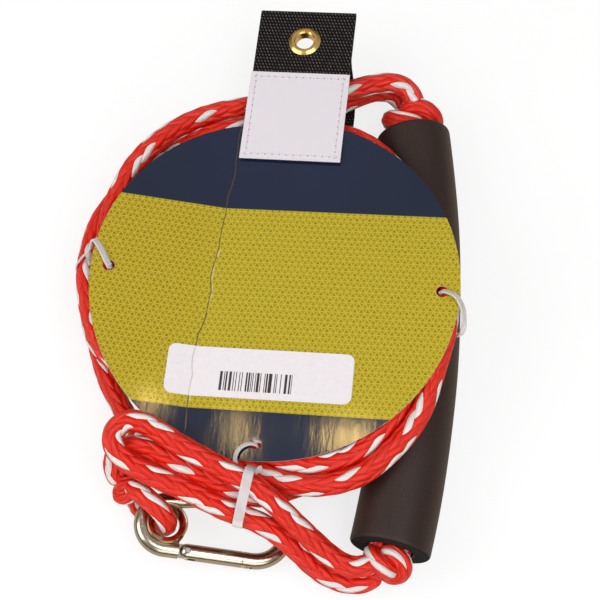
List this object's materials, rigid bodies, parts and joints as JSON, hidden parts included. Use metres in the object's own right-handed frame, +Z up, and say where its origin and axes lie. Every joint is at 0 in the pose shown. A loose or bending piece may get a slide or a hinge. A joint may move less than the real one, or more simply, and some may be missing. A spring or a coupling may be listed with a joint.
{
  "type": "tow rope handle",
  "caption": "Braided tow rope coiled on a display card, with a curved foam float handle, knots, snap hooks, nylon ties and a webbing hang tab.",
  "frame": {"origin": "on the surface that it lies on, under the middle of everything but the rope", "axes": "+Z up from that surface; +Y along the handle, towards the hang tab; +X from the coil towards the handle"},
  "size_m": [0.2026, 0.3144, 0.0576],
  "materials": {
    "rope": "hollow-braided polypropylene, red with white flecks",
    "foam": "closed-cell foam, matt dark brown",
    "steel": "polished stainless",
    "thimble": "pressed stainless, warm in its groove",
    "card": "printed and glossy laminated",
    "sticker": "plain white label",
    "webbing": "woven black webbing",
    "label": "sewn white satin",
    "brass": "pressed brass",
    "nylon": "natural nylon, slightly clear"
  },
  "bodies": {
    "bundle": {"foam_sleeve": "foam", "rope_in_float": "rope", "upper_knot": "rope", "lower_knot": "rope", "rope_coil": "rope", "rope_leg_1": "rope", "rope_leg_2": "rope", "rope_bight": "rope", "rope_tail_1": "rope", "rope_tail_2": "rope", "hook_a_knot": "rope", "hook_a_loop": "rope", "hook_b_knot": "rope", "hook_b_loop": "rope", "display_card": "card", "price_sticker": "sticker", "hang_tab": "webbing", "tab_label": "label", "grommet": "brass", "grommet_washer": "brass", "tie_left": "nylon", "tie_right": "nylon", "tie_bottom": "nylon"},
    "hook_a": {"hook_a_body": "steel", "hook_a_thimble": "thimble", "hook_a_rivet": "steel"},
    "hook_b": {"hook_b_body": "steel", "hook_b_thimble": "thimble", "hook_b_rivet": "steel"},
    "hook_a_latch": {"hook_a_gate": "steel", "hook_a_plunger": "steel", "hook_a_spring": "steel"},
    "hook_b_latch": {"hook_b_gate": "steel", "hook_b_plunger": "steel", "hook_b_spring": "steel"}
  },
  "joints": [
    {"name": "hook_a_swing", "type": "hinge", "parent": "bundle", "child": "hook_a", "pos_m": [-0.0483, -0.13064, 0.0168], "axis": [0.2079, 0, 0.9781], "range_deg": [-35, 0]},
    {"name": "hook_a_gate_hinge", "type": "hinge", "parent": "hook_a", "child": "hook_a_latch", "pos_m": [-0.03803, -0.14365, 0.01462], "axis": [0.2079, 0, 0.9781], "range_deg": [0, 25], "stiffness_Nm_per_rad": 0.02, "springref_deg": -34.38},
    {"name": "hook_b_swing", "type": "hinge", "parent": "bundle", "child": "hook_b", "pos_m": [-0.0389, -0.09464, 0.0168], "axis": [0, 0, 1], "range_deg": [0, 35]},
    {"name": "hook_b_gate_hinge", "type": "hinge", "parent": "hook_b", "child": "hook_b_latch", "pos_m": [-0.02909, -0.10818, 0.0168], "axis": [0, 0, 1], "range_deg": [0, 25], "stiffness_Nm_per_rad": 0.02, "springref_deg": -34.38}
  ]
}
